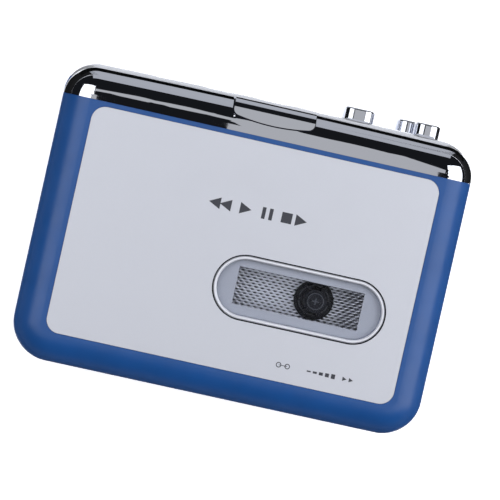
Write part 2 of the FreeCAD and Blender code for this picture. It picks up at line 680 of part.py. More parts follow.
def usb_port():
    """The small five-pin socket on the right side."""
    body = part("usb_port")
    add(body, "YZ", "usb_x0", "usb_x1",
        box("usb_y - usb_half_y", "usb_z - usb_half_z", "usb_y + usb_half_y",
            "usb_z + usb_half_z"))
    cut(body, "YZ", "usb_x0 + 2.5", "usb_x1",
        box("usb_y - usb_half_y + usb_skin", "usb_z - usb_half_z + usb_skin",
            "usb_y + usb_half_y - usb_skin", "usb_z + usb_half_z - usb_skin"))
    add(body, "YZ", "usb_x0 + 2.5", "usb_x1 - 1.5",
        box("usb_y - 2.4", "usb_z - 0.4", "usb_y + 2.4", "usb_z + 0.4"))
    add(body, "XY", "board_z1", "usb_z - usb_half_z",
        box("usb_x0", "usb_y - 3", "board_x", "usb_y + 3"))


def direction_switch():
    """The body of the tape-direction switch and its sliding knob."""
    body = part("direction_switch")
    add(body, "XY", "slider_z - 2.6", "slider_z + 2.6",
        box("slider_x - 5.6", "33.4", "slider_x + 5.6", "38.2"))
    knob = part("direction_knob")
    add(knob, "XZ", "38.8", "41.2", rounded("slider_x", "slider_z", "4.6", "2.6", "0.4"))
    for i in range(4):
        x = "slider_x - 1.8 + %.1f" % (i * 1.1)
        cut(knob, "XZ", "40.9", "41.2", box(x, "slider_z - 1.4", x + " + 0.4", "slider_z + 1.4"))


def volume_control():
    """The volume control and its knurled wheel."""
    pot = part("volume_pot", "volume_x", "volume_y")
    turned(pot, ("pot_r", "pot_z0", "volume_z0 - play_gap"),
           ("1.5", "volume_z0 - play_gap", "volume_z1 - 0.3"))
    wheel = part("volume_wheel", "volume_x", "volume_y")
    turned(wheel, ("volume_r", "volume_z0", "volume_z1"))
    teeth(wheel, "volume_z0", "volume_z1", "volume_r + tooth_depth - 0.4", 60)
    bored(wheel, "1.5 + running", "volume_z0", "volume_z1")


# --------------------------------------------------------------- inside: boards

def main_board():
    """The circuit board with its larger parts."""
    board = part("main_board")
    add(board, "XY", "board_z0", "board_z1", rounded(
        "0", "(board_y0 + board_y1) / 2", "2 * board_x", "board_y1 - board_y0", "2"))
    chips = part("board_chips")
    add(chips, "XY", "board_z1", "board_z1 + 1.6", box("-14", "-14", "-4", "-6"),
        box("8", "-13", "14", "-7"))
    caps = part("capacitors")
    spots = [("-30", "-8"), ("-38", "-8"), ("-38", "1"), ("40", "-12")]
    add(caps, "XY", "board_z1", "board_z1 + 7", *[circle(x, y, "2.5") for x, y in spots])
    soften(caps, "edge_soft", flat_at("board_z1 + 7"))


def battery_contacts():
    """Contact plates at the ends of the bay and the coil at one end."""
    plates = part("battery_contacts")
    for x0, x1 in (("-bay_x + 0.1", "-bay_x + 0.5"), ("bay_x - 0.5", "bay_x - 0.1")):
        add(plates, "YZ", x0, x1, rounded("(bay_y0 + bay_y1) / 2", "9", "11", "11", "1"))
    coil = part("battery_spring", "-bay_x + 0.95", "(bay_y0 + bay_y1) / 2", "9")
    wire = sketch_on(coil, "XY", "0", [circle("0", "3.6", "0.35")])
    helix = coil.newObject("PartDesign::AdditiveHelix", "battery_spring_coil")
    helix.Profile = wire
    helix.ReferenceAxis = (wire, ["H_Axis"])
    helix.Mode = 0
    bind(helix, "Pitch", "1.5")
    bind(helix, "Height", "4.5")


# --------------------------------------------------------------- inside: deck

def chassis_plate():
    """The steel deck plate."""
    body = part("chassis_plate")
    add(body, "XY", "plate_z0", "plate_z1", rounded(
        "0", "(plate_y0 + plate_y1) / 2", "2 * plate_x", "plate_y1 - plate_y0", "5"))
    holes = [circle(x, y, "screw_r + 0.05") for x, y in BOSSES]
    for x, _ in both("reel_off"):
        holes.append(circle(x, "reel_y", "shaft_r"))
    for x, _ in both("capstan_off"):
        holes.append(circle(x, "capstan_y", "bearing_r"))
    holes.append(circle("idler_x", "idler_y", "idler_neck_r + play_gap"))
    cut(body, "XY", "plate_z0", "plate_z1", *holes)


def deck_shafts():
    """The fixed steel shafts under the spindles, the idler and the pinch arms."""
    body = part("deck_shafts")
    spots = [circle(x, "reel_y", "shaft_r") for x, _ in both("reel_off")]
    add(body, "XY", "plate_z0 - 1", "reel_shaft_z", *spots)
    add(body, "XY", "idler_low_z0 - 0.4", "deck_z0", circle("idler_x", "idler_y", "idler_shaft_r"))
    studs = [circle(x, "arm_y", "shaft_r") for x, _ in both("arm_off")]
    add(body, "XY", "plate_z1", "arm_z1 + 0.5", *studs)


def deck_cover():
    """The dark plate under the cassette, with its woven insert above."""
    body = part("deck_cover")
    reels = [circle(x, "reel_y", "deck_hole_r") for x, _ in both("reel_off")]
    add(body, "XY", "deck_z0", "deck_z1", box("-deck_x", "deck_y0", "deck_x", "deck_y1"), *reels)
    for x, y in pairs("46.5", "-15") + pairs("46.5", "6"):
        add(body, "XY", "plate_z1", "deck_z0", circle(x, y, "1.6"))
    add(body, "XY", "bay_top", "deck_z0", box("-46", "-31", "46", "-30"))
    mesh = part("deck_mesh")
    add(mesh, "XY", "deck_z1", "mesh_z1", box("-mesh_x", "mesh_y0", "mesh_x", "mesh_y1"), *reels)


def spindles():
    """Two reel spindles with drive gear, flange, core, wings and cap."""
    for x, side in both("reel_off"):
        body = part(side + "_spindle", x, "reel_y")
        turned(body, ("reel_gear_r - tooth_gap", "reel_gear_z0", "reel_gear_z1"),
               ("reel_neck_r", "reel_gear_z1", "reel_flange_z0"),
               ("reel_flange_r", "reel_flange_z0", "reel_flange_z1"),
               ("reel_core_r", "reel_flange_z1", "reel_core_z"),
               ("reel_cap_r", "reel_core_z", "reel_cap_z"))
        soften(body, "edge_soft", flat_at("reel_cap_z"))
        cut(body, "XY", "reel_cap_z - 0.4", "reel_cap_z",
            box("-1.5", "-0.25", "-0.5", "0.25"), box("0.5", "-0.25", "1.5", "0.25"))
        wing = add(body, "XY", "reel_flange_z1", "reel_wing_z",
                   box("reel_core_r - 0.6", "-0.6", "reel_wing_r", "0.6"))
        repeat(body, wing, 6)
        teeth(body, "reel_gear_z0", "reel_gear_z1", "reel_gear_r", 36)
        bored(body, "shaft_r + running", "reel_gear_z0", "reel_shaft_z + 0.3")


def flywheels():
    """Two flywheels with belt grooves, each on its capstan shaft."""
    for x, side in both("capstan_off"):
        wheel = part(side + "_flywheel", x, "capstan_y")
        turned(wheel, ("wheel_r", "wheel_z0", "groove_z0"), ("groove_r", "groove_z0", "groove_z1"),
               ("wheel_r", "groove_z1", "wheel_z1"), ("hub_r", "wheel_z1", "hub_z1"))
        if side == "right":
            turned(wheel, ("pinion_r - tooth_gap", "hub_z1", "pinion_z1"))
            teeth(wheel, "hub_z1", "pinion_z1", "pinion_r", 14)
        web = cut(wheel, "XY", "wheel_z1 - 0.5", "wheel_z1", circle("7.2", "0", "2.2"))
        repeat(wheel, web, 6)
        bored(wheel, "capstan_r", "wheel_z0", "pinion_z1")
        shaft = part(side + "_capstan", x, "capstan_y")
        turned(shaft, ("capstan_r", "capstan_z0", "capstan_z1"))
        soften(shaft, "edge_soft", flat_at("capstan_z1"), "Chamfer")


def bearings():
    """Bronze bushes that guide the capstans."""
    body = part("capstan_bearings")
    for x, _ in both("capstan_off"):
        add(body, "XY", "bearing_z0", "bearing_z1",
            circle(x, "capstan_y", "bearing_r"), circle(x, "capstan_y", "capstan_r + running"))


def flywheel_bracket():
    """The strap that carries the lower ends of the capstans."""
    body = part("flywheel_bracket")
    add(body, "XY", "4", "4.8", polygon(
        ("-36", "15"), ("38", "15"), ("38", "22"), ("19.5", "22"), ("19.5", "30.5"),
        ("-17.5", "30.5"), ("-17.5", "22"), ("-36", "22")))
    for x in ("-15", "17"):
        add(body, "XY", "4.8", "plate_z0", circle(x, "28", "1.8"))


def motor_parts():
    """The motor, its pulley and the belt round both flywheels."""
    motor = part("motor", "deck_cx", "motor_y")
    turned(motor, ("motor_r", "motor_z0", "motor_z1"), ("nose_r", "motor_z0 - 0.4", "motor_z0"))
    soften(motor, "0.8", flat_at("motor_z1"))
    bored(motor, "motor_shaft_r + running", "motor_z0 - 0.4", "motor_shaft_z1 + 0.3")
    pulley = part("motor_pulley", "deck_cx", "motor_y")
    turned(pulley, ("pulley_r", "pulley_z0", "groove_z0"),
           ("pulley_groove_r", "groove_z0", "groove_z1"),
           ("pulley_r", "groove_z1", "pulley_z1"),
           ("motor_shaft_r", "pulley_z1", "motor_shaft_z1"))
    belt = part("drive_belt")

    def path(wheel, small):
        return hull(("deck_cx - capstan_off", "capstan_y", wheel), ("deck_cx", "motor_y", small),
                    ("deck_cx + capstan_off", "capstan_y", wheel))
    add(belt, "XY", "belt_z0", "belt_z1", path("belt_outer", "belt_pulley_out"),
        path("belt_inner", "belt_pulley_in"))


def idler():
    """The two-stage gear between the right flywheel and the right reel."""
    gear = part("idler_gear", "idler_x", "idler_y")
    turned(gear, ("idler_low_r - tooth_gap", "idler_low_z0", "pinion_z1"))
    teeth(gear, "idler_low_z0", "pinion_z1", "idler_low_r", 40)
    turned(gear, ("idler_neck_r", "pinion_z1", "reel_gear_z0"),
           ("idler_up_r - tooth_gap", "reel_gear_z0", "reel_gear_z1 - 0.2"))
    teeth(gear, "reel_gear_z0", "reel_gear_z1 - 0.2", "idler_up_r", 32)
    bored(gear, "idler_shaft_r + running", "idler_low_z0", "reel_gear_z1")


def head_parts():
    """The sliding head plate, its fixed guides and the tape head."""
    plate = part("head_plate")
    add(plate, "XY", "head_plate_z0", "head_plate_z1", rounded(
        "deck_cx", "(head_plate_y0 + head_plate_y1) / 2", "2 * head_plate_x",
        "head_plate_y1 - head_plate_y0", "1.5"))
    spots = [(x, y) for y in ("guide_y0", "guide_y1") for x, _ in both("guide_off")]
    for x, y in spots:
        cut(plate, "XY", "head_plate_z0", "head_plate_z1",
            hull((x, y, "guide_slot_r"), (x, y + " + head_travel + 0.1", "guide_slot_r")))
    guides = part("head_guides")
    add(guides, "XY", "plate_z1", "arm_z0", *[circle(x, y, "shaft_r") for x, y in spots])
    add(guides, "XY", "head_plate_z1 + 0.3", "deck_z0 - 0.1", *[circle(x, y, "2") for x, y in spots])
    head = part("tape_head")
    add(head, "XY", "head_plate_z1", "head_z0",
        box("deck_cx - 6.8", "head_y0 + 3", "deck_cx + 6.8", "head_y1"))
    add(head, "XY", "head_z0", "head_z1", box("deck_cx - head_x", "head_y0", "deck_cx + head_x",
                                              "head_y1 - 1"))
    front = num("head_y0")

    def face_sides(edge):
        box_of = edge.BoundBox
        return box_of.YMax - box_of.YMin < 1e-3 and abs(box_of.YMin - front) < 1e-3 \
            and box_of.XMax - box_of.XMin < 1e-3

    soften(head, "3", face_sides)


def pinch_parts():
    """Two swinging arms with rubber rollers."""
    for x, side in both("arm_off"):
        far = x.replace("arm_off", "capstan_off")
        arm = part(side + "_pinch_arm")
        discs = [(x, "arm_y", "arm_pivot_r"), (far, "roller_y", "arm_end_r")]
        add(arm, "XY", "arm_z0", "arm_z1", hull(*discs))
        add(arm, "XY", "arm_z1", "roller_pin_z1", circle(far, "roller_y", "roller_pin_r"))
        cut(arm, "XY", "arm_z0", "arm_z1", circle(x, "arm_y", "shaft_r + running"))
        roller = part(side + "_pinch_roller", far, "roller_y")
        turned(roller, ("roller_r", "roller_z0", "roller_z1"))
        bored(roller, "roller_pin_r + running", "roller_z0", "roller_z1")


def check_and_write():
    """Refuses any broken or idle feature, then writes one file per sub-part."""
    DOC.recompute()
    for thing in DOC.Objects:
        if "Invalid" in thing.State or "Error" in thing.State:
            raise RuntimeError("broken: %s %s" % (thing.Label, thing.State))
    for body in NODES:
        before = 0.0
        for step in body.Group:
            if not step.TypeId.startswith("PartDesign::"):
                continue
            volume = step.Shape.Volume
            if step.TypeId.endswith("Pocket") and volume > before - 1e-4:
                raise RuntimeError("a cut removes nothing: " + step.Label)
            before = volume
        shape = body.Shape
        if shape.isNull() or not shape.isValid() or shape.Volume < 1e-3:
            raise RuntimeError("bad shape: " + body.Label)
    for body in NODES:
        body.Shape.exportStep(os.path.join("parts", body.Label + ".step"))
    print(len(NODES), "sub-parts written")


def main():
    """Builds the whole player."""
    os.makedirs("parts", exist_ok=True)
    fill_sheet()
    makers = (rear_case, top_panel, battery_cover, case_screws, hinge_pins, door_frame,
              door_chrome_bezel, door_pull_tab, label_plate, window_ring, window_lens,
              window_mask, cassette_holder, cassette_springs, door_catches, key_parts,
              key_guide, key_springs, phones_jack, usb_port, direction_switch, volume_control,
              main_board, battery_contacts, chassis_plate, deck_shafts, deck_cover, spindles,
              flywheels, bearings, flywheel_bracket, motor_parts, idler, head_parts,
              pinch_parts)
    for make in makers:
        make()
        DOC.recompute()
    check_and_write()


main()
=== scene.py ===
"""Looks of the pocket cassette player, in metres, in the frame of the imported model."""
import json
import math
import random

import bmesh
import bpy
from mathutils import Matrix, Vector

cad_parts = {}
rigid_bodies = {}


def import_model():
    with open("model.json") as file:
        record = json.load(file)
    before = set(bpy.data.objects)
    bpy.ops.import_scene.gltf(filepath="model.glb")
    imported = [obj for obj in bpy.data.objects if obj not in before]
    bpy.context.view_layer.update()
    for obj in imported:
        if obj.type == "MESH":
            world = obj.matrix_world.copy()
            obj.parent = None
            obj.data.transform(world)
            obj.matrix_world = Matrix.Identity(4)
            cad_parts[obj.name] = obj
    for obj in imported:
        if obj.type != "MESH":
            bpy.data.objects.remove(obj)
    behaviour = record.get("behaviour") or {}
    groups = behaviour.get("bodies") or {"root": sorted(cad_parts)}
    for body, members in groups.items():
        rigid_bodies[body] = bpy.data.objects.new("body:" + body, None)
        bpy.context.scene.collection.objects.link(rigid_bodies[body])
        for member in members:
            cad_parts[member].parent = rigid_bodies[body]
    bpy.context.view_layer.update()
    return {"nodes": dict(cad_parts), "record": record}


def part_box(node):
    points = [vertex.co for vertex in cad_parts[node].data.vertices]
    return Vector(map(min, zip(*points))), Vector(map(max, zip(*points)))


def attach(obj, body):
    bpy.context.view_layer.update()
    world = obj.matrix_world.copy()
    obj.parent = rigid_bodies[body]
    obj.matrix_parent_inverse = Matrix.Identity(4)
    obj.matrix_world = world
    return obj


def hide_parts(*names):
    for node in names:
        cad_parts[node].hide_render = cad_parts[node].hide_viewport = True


MM = 0.001
SEED = 7

# camera: where it looks, from how far, how it is turned in degrees, and its lens
LOOK_AT = (1.74 * MM, 0.36 * MM, 30 * MM)
DISTANCE = 0.817
YAW, PITCH, ROLL = 4.28, 1.69, 12.67
LENS, SENSOR = 216, 36

# the player: front face, top of the deck, and the middles of the left and right reels
FRONT_Z = 35 * MM
DECK_Z = 20.1 * MM
REELS = ((-19.95 * MM, -9.6 * MM), (22.55 * MM, -9.6 * MM))
# the studio: how brightly its pale surfaces glow, how dark its cards are, how high they start
PALE_GLOW = 0.62
CARD_GREY = 0.01
CARD_Z = 0.001
# nodes whose finish differs a little from their slot's
FINISH_OF = {"top_panel": "bright_chrome", "window_ring": "rim_silver", "deck_cover": "deck_grey",
             "left_spindle": "spindle_black", "right_spindle": "spindle_black"}


# ------------------------------------------------------------------ materials

class Paint:
    """A principled material with short ways to add procedural detail."""

    def __init__(self, name, colour, rough, metal=0.0, spec=0.5):
        self.mat = bpy.data.materials.new(name)
        self.mat.use_nodes = True
        self.tree = self.mat.node_tree
        self.bsdf = self.tree.nodes["Principled BSDF"]
        self.set("Base Color", (*colour, 1))
        self.set("Roughness", rough)
        self.set("Metallic", metal)
        self.set("Specular IOR Level", spec)
        self.colour, self.rough = colour, rough
        self.where = self.node("ShaderNodeTexCoord").outputs["Object"]

    def set(self, socket, value):
        self.bsdf.inputs[socket].default_value = value

    def node(self, kind, **settings):
        made = self.tree.nodes.new(kind)
        for key, value in settings.items():
            setattr(made, key, value)
        return made

    def join(self, a, b):
        self.tree.links.new(a, b)

    def stretch(self, scale):
        """Object coordinates scaled per axis."""
        mapping = self.node("ShaderNodeMapping")
        mapping.inputs["Scale"].default_value = scale
        self.join(self.where, mapping.inputs["Vector"])
        return mapping.outputs["Vector"]

    def noise(self, size, detail, scale=(1, 1, 1)):
        """Noise with features about size metres across."""
        made = self.node("ShaderNodeTexNoise")
        made.inputs["Scale"].default_value = 1 / size
        made.inputs["Detail"].default_value = detail
        made.inputs["Roughness"].default_value = 0.55
        self.join(self.stretch(scale), made.inputs["Vector"])
        return made.outputs["Fac"]

    def remap(self, value, low, high, start=0.3, end=0.7):
        """Spreads a value that runs from start to end over low to high."""
        made = self.node("ShaderNodeMapRange")
        made.inputs["From Min"].default_value = start
        made.inputs["From Max"].default_value = end
        made.inputs["To Min"].default_value = low
        made.inputs["To Max"].default_value = high
        self.join(value, made.inputs["Value"])
        return made.outputs["Result"]

    def vary_colour(self, value, amount, start=0.3, end=0.7):
        """Lightens and darkens the base colour."""
        ramp = self.node("ShaderNodeMix", data_type="RGBA")
        low = [max(0.0, c * (1 - amount)) for c in self.colour]
        high = [min(1.0, c * (1 + amount)) for c in self.colour]
        ramp.inputs["A"].default_value = (*low, 1)
        ramp.inputs["B"].default_value = (*high, 1)
        self.join(self.remap(value, 0, 1, start, end), ramp.inputs["Factor"])
        self.join(ramp.outputs["Result"], self.bsdf.inputs["Base Color"])
        return self

    def vary_rough(self, value, amount):
        """Spreads the roughness about its own value."""
        out = self.remap(value, max(0.0, self.rough - amount), self.rough + amount)
        self.join(out, self.bsdf.inputs["Roughness"])
        return self

    def bump(self, value, height):
        """Relief of the given height in metres."""
        made = self.node("ShaderNodeBump")
        made.inputs["Distance"].default_value = height
        self.join(value, made.inputs["Height"])
        self.join(made.outputs["Normal"], self.bsdf.inputs["Normal"])
        return self


def plastic(name, colour, rough, grain=0.25 * MM, height=0.004 * MM, spec=0.5):
    """Moulded plastic with a fine spark-eroded grain."""
    made = Paint(name, colour, rough, spec=spec)
    made.vary_colour(made.noise(9 * MM, 3), 0.05)
    made.vary_rough(made.noise(4 * MM, 5), 0.05)
    made.bump(made.noise(grain, 2), height)
    return made.mat


def chrome(name, colour, rough, plated=1.0):
    """Plated plastic, mirror-like with faint wiping marks; plated is the metallic share."""
    made = Paint(name, colour, rough, metal=plated)
    made.vary_rough(made.noise(3 * MM, 6, (1, 3, 1)), rough * 0.5)
    made.bump(made.noise(14 * MM, 2), 0.0012 * MM)
    return made.mat


def metal(name, colour, rough, scale=(1, 14, 14), size=1.2 * MM):
    """Worked metal with a directional grain."""
    made = Paint(name, colour, rough, metal=1.0)
    grain = made.noise(size, 5, scale)
    made.vary_colour(grain, 0.07)
    made.vary_rough(grain, 0.09)
    made.bump(grain, 0.002 * MM)
    return made.mat


def silver_paint(name, colour):
    """Satin silver: very fine metallic flake under clear lacquer."""
    made = Paint(name, colour, 0.42, metal=0.35)
    flake = made.node("ShaderNodeTexVoronoi")
    flake.inputs["Scale"].default_value = 1 / (0.12 * MM)
    made.join(made.stretch((1, 1, 1)), flake.inputs["Vector"])
    made.vary_colour(flake.outputs["Distance"], 0.03, 0, 1)
    made.vary_rough(made.noise(7 * MM, 5), 0.03)
    made.bump(made.noise(0.2 * MM, 2), 0.0015 * MM)
    return made.mat


def see_through(name, tint, clear, gloss_rough, body=(0.8, 0.8, 0.8), ior=1.45):
    """A thin pane: lets the share called clear straight through and mirrors a little."""
    streak = 2 * MM
    mat = bpy.data.materials.new(name)
    mat.use_nodes = True
    tree = mat.node_tree
    tree.nodes.clear()

    def node(kind):
        return tree.nodes.new(kind)

    out = node("ShaderNodeOutputMaterial")
    through, solid, gloss = (node("ShaderNodeBsdfTransparent"), node("ShaderNodeBsdfDiffuse"),
                             node("ShaderNodeBsdfGlossy"))
    through.inputs["Color"].default_value = (*tint, 1)
    solid.inputs["Color"].default_value = (*body, 1)
    where = node("ShaderNodeTexCoord")
    haze = node("ShaderNodeTexNoise")
    haze.inputs["Scale"].default_value = 1 / streak
    spread = node("ShaderNodeMapRange")
    spread.inputs["To Min"].default_value = gloss_rough * 0.6
    spread.inputs["To Max"].default_value = gloss_rough * 1.5
    tree.links.new(where.outputs["Object"], haze.inputs["Vector"])
    tree.links.new(haze.outputs["Fac"], spread.inputs["Value"])
    tree.links.new(spread.outputs["Result"], gloss.inputs["Roughness"])
    share = node("ShaderNodeMixShader")
    share.inputs["Fac"].default_value = clear
    tree.links.new(solid.outputs["BSDF"], share.inputs[1])
    tree.links.new(through.outputs["BSDF"], share.inputs[2])
    edge = node("ShaderNodeFresnel")
    edge.inputs["IOR"].default_value = ior
    mirror = node("ShaderNodeMixShader")
    tree.links.new(edge.outputs["Fac"], mirror.inputs["Fac"])
    tree.links.new(share.outputs["Shader"], mirror.inputs[1])
    tree.links.new(gloss.outputs["BSDF"], mirror.inputs[2])
    tree.links.new(mirror.outputs["Shader"], out.inputs["Surface"])
    return mat


def board_paint():
    """Solder mask with lighter tracks under it."""
    green = (0.03, 0.16, 0.08)
    made = Paint("board_green", green, 0.35)
    tracks = made.node("ShaderNodeTexBrick")
    tracks.inputs["Scale"].default_value = 1 / (9 * MM)
    tracks.inputs["Mortar Size"].default_value = 0.04
    tracks.inputs["Color1"].default_value = (*green, 1)
    tracks.inputs["Color2"].default_value = (0.035, 0.19, 0.09, 1)
    tracks.inputs["Mortar"].default_value = (0.06, 0.26, 0.13, 1)
    made.join(made.stretch((1, 1, 1)), tracks.inputs["Vector"])
    made.join(tracks.outputs["Color"], made.bsdf.inputs["Base Color"])
    made.bump(tracks.outputs["Fac"], 0.02 * MM)
    return made.mat


def make_materials():
    """One material for each slot of the record, and a few of the looks' own."""
    return {
        "case_blue": plastic("case_blue", (0.010, 0.073, 0.27), 0.34, 0.22 * MM, 0.004 * MM, 0.42),
        "chrome_trim": chrome("chrome_trim", (0.60, 0.62, 0.68), 0.014),
        "bright_chrome": chrome("bright_chrome", (0.88, 0.90, 0.96), 0.13, 0.7),
        "label_silver": silver_paint("label_silver", (0.555, 0.575, 0.645)),
        "rim_silver": silver_paint("rim_silver", (0.74, 0.76, 0.84)),
        "lens_clear": see_through("lens_clear", (0.97, 0.98, 1.0), 1.0, 0.03, ior=1.15),
        "mask_grey": see_through("mask_grey", (0.6, 0.64, 0.72), 0.08, 0.2, (0.43, 0.445, 0.50)),
        "black_plastic": plastic("black_plastic", (0.010, 0.011, 0.015), 0.3),
        "white_plastic": plastic("white_plastic", (0.75, 0.75, 0.72), 0.45),
        "grey_plastic": plastic("grey_plastic", (0.10, 0.105, 0.12), 0.45),
        "mesh_silver": metal("mesh_silver", (0.76, 0.77, 0.84), 0.46, (1, 1, 1), 0.5 * MM),
        "spindle_rim": plastic("spindle_rim", (0.055, 0.06, 0.075), 0.3, 0.3 * MM, 0.002 * MM),
        "deck_grey": plastic("deck_grey", (0.095, 0.098, 0.115), 0.5),
        "spindle_black": plastic("spindle_black", (0.008, 0.009, 0.014), 0.3, 0.3 * MM, 0.002 * MM, 0.2),
        "steel": metal("steel", (0.55, 0.56, 0.58), 0.3),
        "spring_steel": metal("spring_steel", (0.42, 0.43, 0.46), 0.28, (14, 1, 14)),
        "brass_part": metal("brass_part", (0.74, 0.53, 0.22), 0.28, (6, 6, 1)),
        "rubber_black": plastic("rubber_black", (0.02, 0.02, 0.022), 0.75, 0.4 * MM, 0.01 * MM, 0.3),
        "board_green": board_paint(),
        # painted shade: the black of the strips that stand in for the shadowed gaps round the window and
        # the pull tab
        "gap_shade_black": plastic("gap_shade_black", (0.012, 0.013, 0.02), 0.8, 0.4 * MM, 0.004 * MM, 0.1),
        "ink": plastic("ink", (0.026, 0.028, 0.042), 0.5, 0.1 * MM, 0.002 * MM),
        "key_mark": plastic("key_mark", (0.03, 0.03, 0.04), 0.5, 0.1 * MM, 0.002 * MM),
    }


# ------------------------------------------------------------- building pieces

def piece(name, mesh_maker, material, body, bevel=0.0):
    """Makes one object from a function that fills a bmesh, and lets it ride on a body."""
    mesh = bpy.data.meshes.new(name)
    shape = bmesh.new()
    mesh_maker(shape)
    bmesh.ops.recalc_face_normals(shape, faces=shape.faces)
    shape.to_mesh(mesh)
    shape.free()
    made = bpy.data.objects.new(name, mesh)
    bpy.context.scene.collection.objects.link(made)
    mesh.materials.append(material)
    if bevel:
        soft = made.modifiers.new("soft", "BEVEL")
        soft.width = bevel
        soft.segments = 2
        soft.limit_method = "ANGLE"
    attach(made, body)
    return made


def prism(shape, outline, z0, z1, place=Matrix.Identity(4)):
    """Extrudes a closed outline of (x, y) between two heights."""
    low = [shape.verts.new(place @ Vector((x, y, z0))) for x, y in outline]
    high = [shape.verts.new(place @ Vector((x, y, z1))) for x, y in outline]
    count = len(outline)
    shape.faces.new(low[::-1])
    shape.faces.new(high)
    for i in range(count):
        j = (i + 1) % count
        shape.faces.new((low[i], low[j], high[j], high[i]))


def ring(shape, cx, cy, outer, inner, z0, z1, steps=48):
    """A flat washer."""
    turns = [2 * math.pi * i / steps for i in range(steps)]
    rows = [[shape.verts.new((cx + radius * math.cos(a), cy + radius * math.sin(a), z))
             for a in turns]
            for radius, z in ((inner, z0), (outer, z0), (outer, z1), (inner, z1))]
    for a, b in zip(rows, rows[1:] + rows[:1]):
        for i in range(steps):
            j = (i + 1) % steps
            shape.faces.new((a[i], a[j], b[j], b[i]))


def triangle(cx, cy, size, way=1):
    """A play-arrow outline that points along X, or against it with way -1."""
    return [(cx - way * size / 2, cy - size / 2), (cx + way * size / 2, cy),
            (cx - way * size / 2, cy + size / 2)][::way]


def oblong(cx, cy, w, h):
    """A rectangle's outline."""
    return [(cx - w / 2, cy - h / 2), (cx + w / 2, cy - h / 2), (cx + w / 2, cy + h / 2),
            (cx - w / 2, cy + h / 2)]


def mesh_panel(mats):
    """The silver expanded-metal panel on the deck: cambered strands with slots between."""
    x0, x1, y0, y1 = (v * MM for v in (-39.6, 39.6, -30.6, 5.6))
    pitch, wave, sway, width = 0.78 * MM, 1.8 * MM, 0.13 * MM, 0.66 * MM
    low, high, step = DECK_Z + 0.02 * MM, DECK_Z + 0.27 * MM, 0.15 * MM
    dip, camber, level_share, stray = 0.05 * MM, 0.13 * MM, 0.4, 0.03 * MM
    reel_hole = 5.2 * MM

    def clear(x, y):
        return all(math.hypot(x - cx, y - cy) > reel_hole for cx, cy in REELS)

    def strand(shape, spots, flip):
        """One strand as a strip with a raised middle, its ends closed."""
        rows = []
        for x, y in spots:
            swing = flip * math.cos(2 * math.pi * x / wave)
            mid = y + sway * swing * random.uniform(0.7, 1.1)
            crest = high - dip * (1 - swing) * random.uniform(0.6, 1.0)
            edge = crest - camber
            section = ((-1, low), (-1, edge), (-level_share, crest), (level_share, crest),
                       (1, edge), (1, low))
            rows.append([shape.verts.new((x, mid + side * width / 2, z)) for side, z in section])
        for a, b in zip(rows, rows[1:]):
            for i in range(len(a)):
                j = (i + 1) % len(a)
                shape.faces.new((a[i], b[i], b[j], a[j]))
        shape.faces.new(rows[0])
        shape.faces.new(rows[-1][::-1])

    def strands(shape):
        """Strands side by side, each second one a mirror image, cut where the reels stand."""
        for k in range(int((y1 - y0) / pitch)):
            y = y0 + (k + 0.5) * pitch + random.uniform(-stray, stray)
            flip = 1 - 2 * (k % 2)
            spots = []
            for i in range(int((x1 - x0) / step) + 1):
                x = x0 + i * step
                if clear(x, y):
                    spots.append((x, y))
                    continue
                if len(spots) > 1:
                    strand(shape, spots, flip)
                spots = []
            if len(spots) > 1:
                strand(shape, spots, flip)

    made = piece("mesh_strands", strands, mats["mesh_silver"], "case")
    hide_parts("deck_mesh")


def printed_marks(mats):
    """Generic transport signs and small signs printed on the label plate."""
    z0, z1 = FRONT_Z - 0.02 * MM, FRONT_Z + 0.004 * MM

    def large(shape):
        """Rewind, play, pause, stop and a last arrow, in a row from x."""
        x, y = -12.4 * MM, 11.1 * MM
        tall, bar, stop = 3.2 * MM, 1.0 * MM, 2.9 * MM
        outlines = [triangle(x + 1.6 * MM, y, tall, -1), triangle(x + 4.6 * MM, y, tall, -1),
                    triangle(x + 10.2 * MM, y, tall),
                    oblong(x + 15.2 * MM, y, bar, tall), oblong(x + 17.2 * MM, y, bar, tall),
                    oblong(x + 21.6 * MM, y, stop, stop), triangle(x + 25.6 * MM, y, tall)]
        for outline in outlines:
            prism(shape, outline, z0, z1)

    def small(shape):
        """Two reels joined by a tape, a rising scale and two arrows."""
        y, arrow = -28.2 * MM, 1.2 * MM
        for cx in (15.8, 18.2):
            ring(shape, cx * MM, y, 0.75 * MM, 0.5 * MM, z0, z1, 28)
        outlines = [oblong(17 * MM, y, 2.4 * MM, 0.16 * MM)]
        for i in range(5):
            outlines.append(oblong((24.2 + 1.7 * i) * MM, y, 1.1 * MM, (0.4 + 0.22 * i) * MM))
        outlines += [triangle(34.2 * MM, y, arrow), triangle(36 * MM, y, arrow)]
        for outline in outlines:
            prism(shape, outline, z0, z1)

    piece("label_signs", large, mats["ink"], "door")
    piece("label_small_signs", small, mats["ink"], "door")


def stadium(radius, half, cx, cy, steps=24):
    """Outline of a slot along X: round ends of the radius, their middles half off the centre."""
    points = []
    for side, first in ((half, 0), (-half, steps)):
        for i in range(first, first + steps + 1):
            turn = math.pi * i / steps - math.pi / 2
            points.append((cx + side + radius * math.cos(turn), cy + radius * math.sin(turn)))
    return points


def gap_strip(shape, inner, outer, low_of, high_of, closed):
    """A strip between two outlines, with its low and high edges given by functions of y."""
    rows = [[shape.verts.new((x, y, height(y))) for x, y in line]
            for line, height in ((inner, low_of), (outer, low_of), (outer, high_of),
                                 (inner, high_of))]
    count = len(inner)
    for a, b in zip(rows, rows[1:] + rows[:1]):
        for i in range(count if closed else count - 1):
            j = (i + 1) % count
            shape.faces.new((a[i], a[j], b[j], b[i]))
    if not closed:
        shape.faces.new([row[0] for row in rows])
        shape.faces.new([row[-1] for row in rows][::-1])


